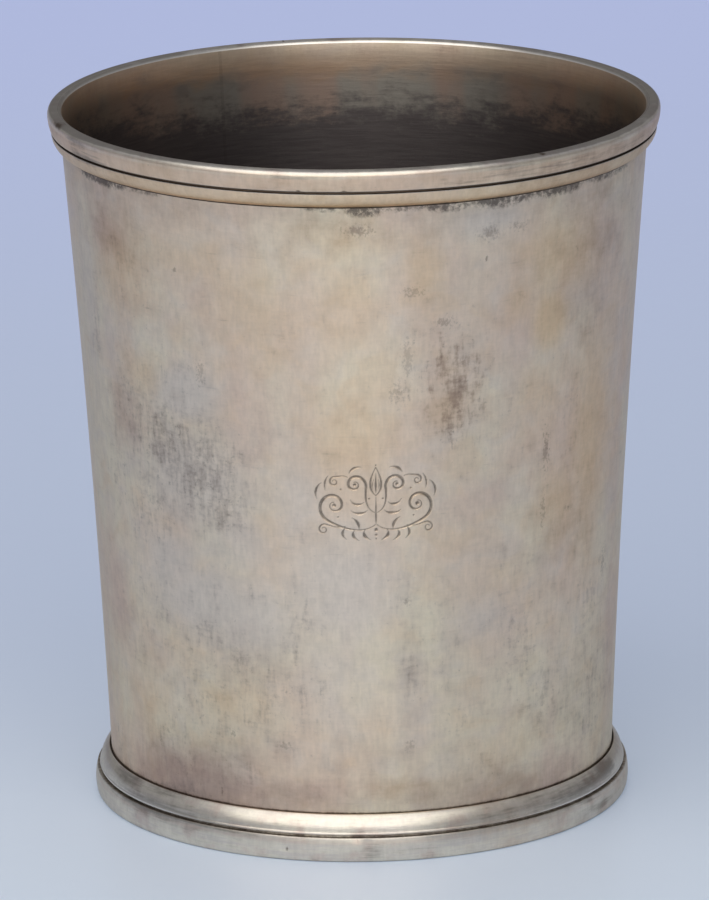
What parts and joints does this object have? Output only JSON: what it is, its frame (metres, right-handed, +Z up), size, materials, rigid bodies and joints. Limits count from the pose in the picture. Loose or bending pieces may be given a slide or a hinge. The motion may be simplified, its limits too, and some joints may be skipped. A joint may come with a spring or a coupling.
{
  "type": "julep cup",
  "caption": "Tapered silver beaker with a reeded moulding round the lip and a stepped moulding round the foot, for iced drinks.",
  "frame": {"origin": "centre of the plane that the foot moulding rests on", "axes": "+Z up along the cup's axis, from foot to lip; +X to the right and -Y towards the viewer, so the wall's seam is at the back on the left"},
  "size_m": [0.082, 0.082, 0.095],
  "materials": {
    "silver": "satin silver, worn by polishing, with brown tarnish in hollows and patches",
    "solder": "dull silver solder, darker than the metal that it joins"
  },
  "bodies": {
    "root": {"body_wall": "silver", "wall_seam_solder": "solder", "base_disc": "silver", "base_solder": "solder", "rim_moulding": "silver", "rim_butt_solder": "solder", "rim_solder": "solder", "foot_moulding": "silver", "foot_butt_solder": "solder", "foot_solder": "solder"}
  },
  "joints": []
}
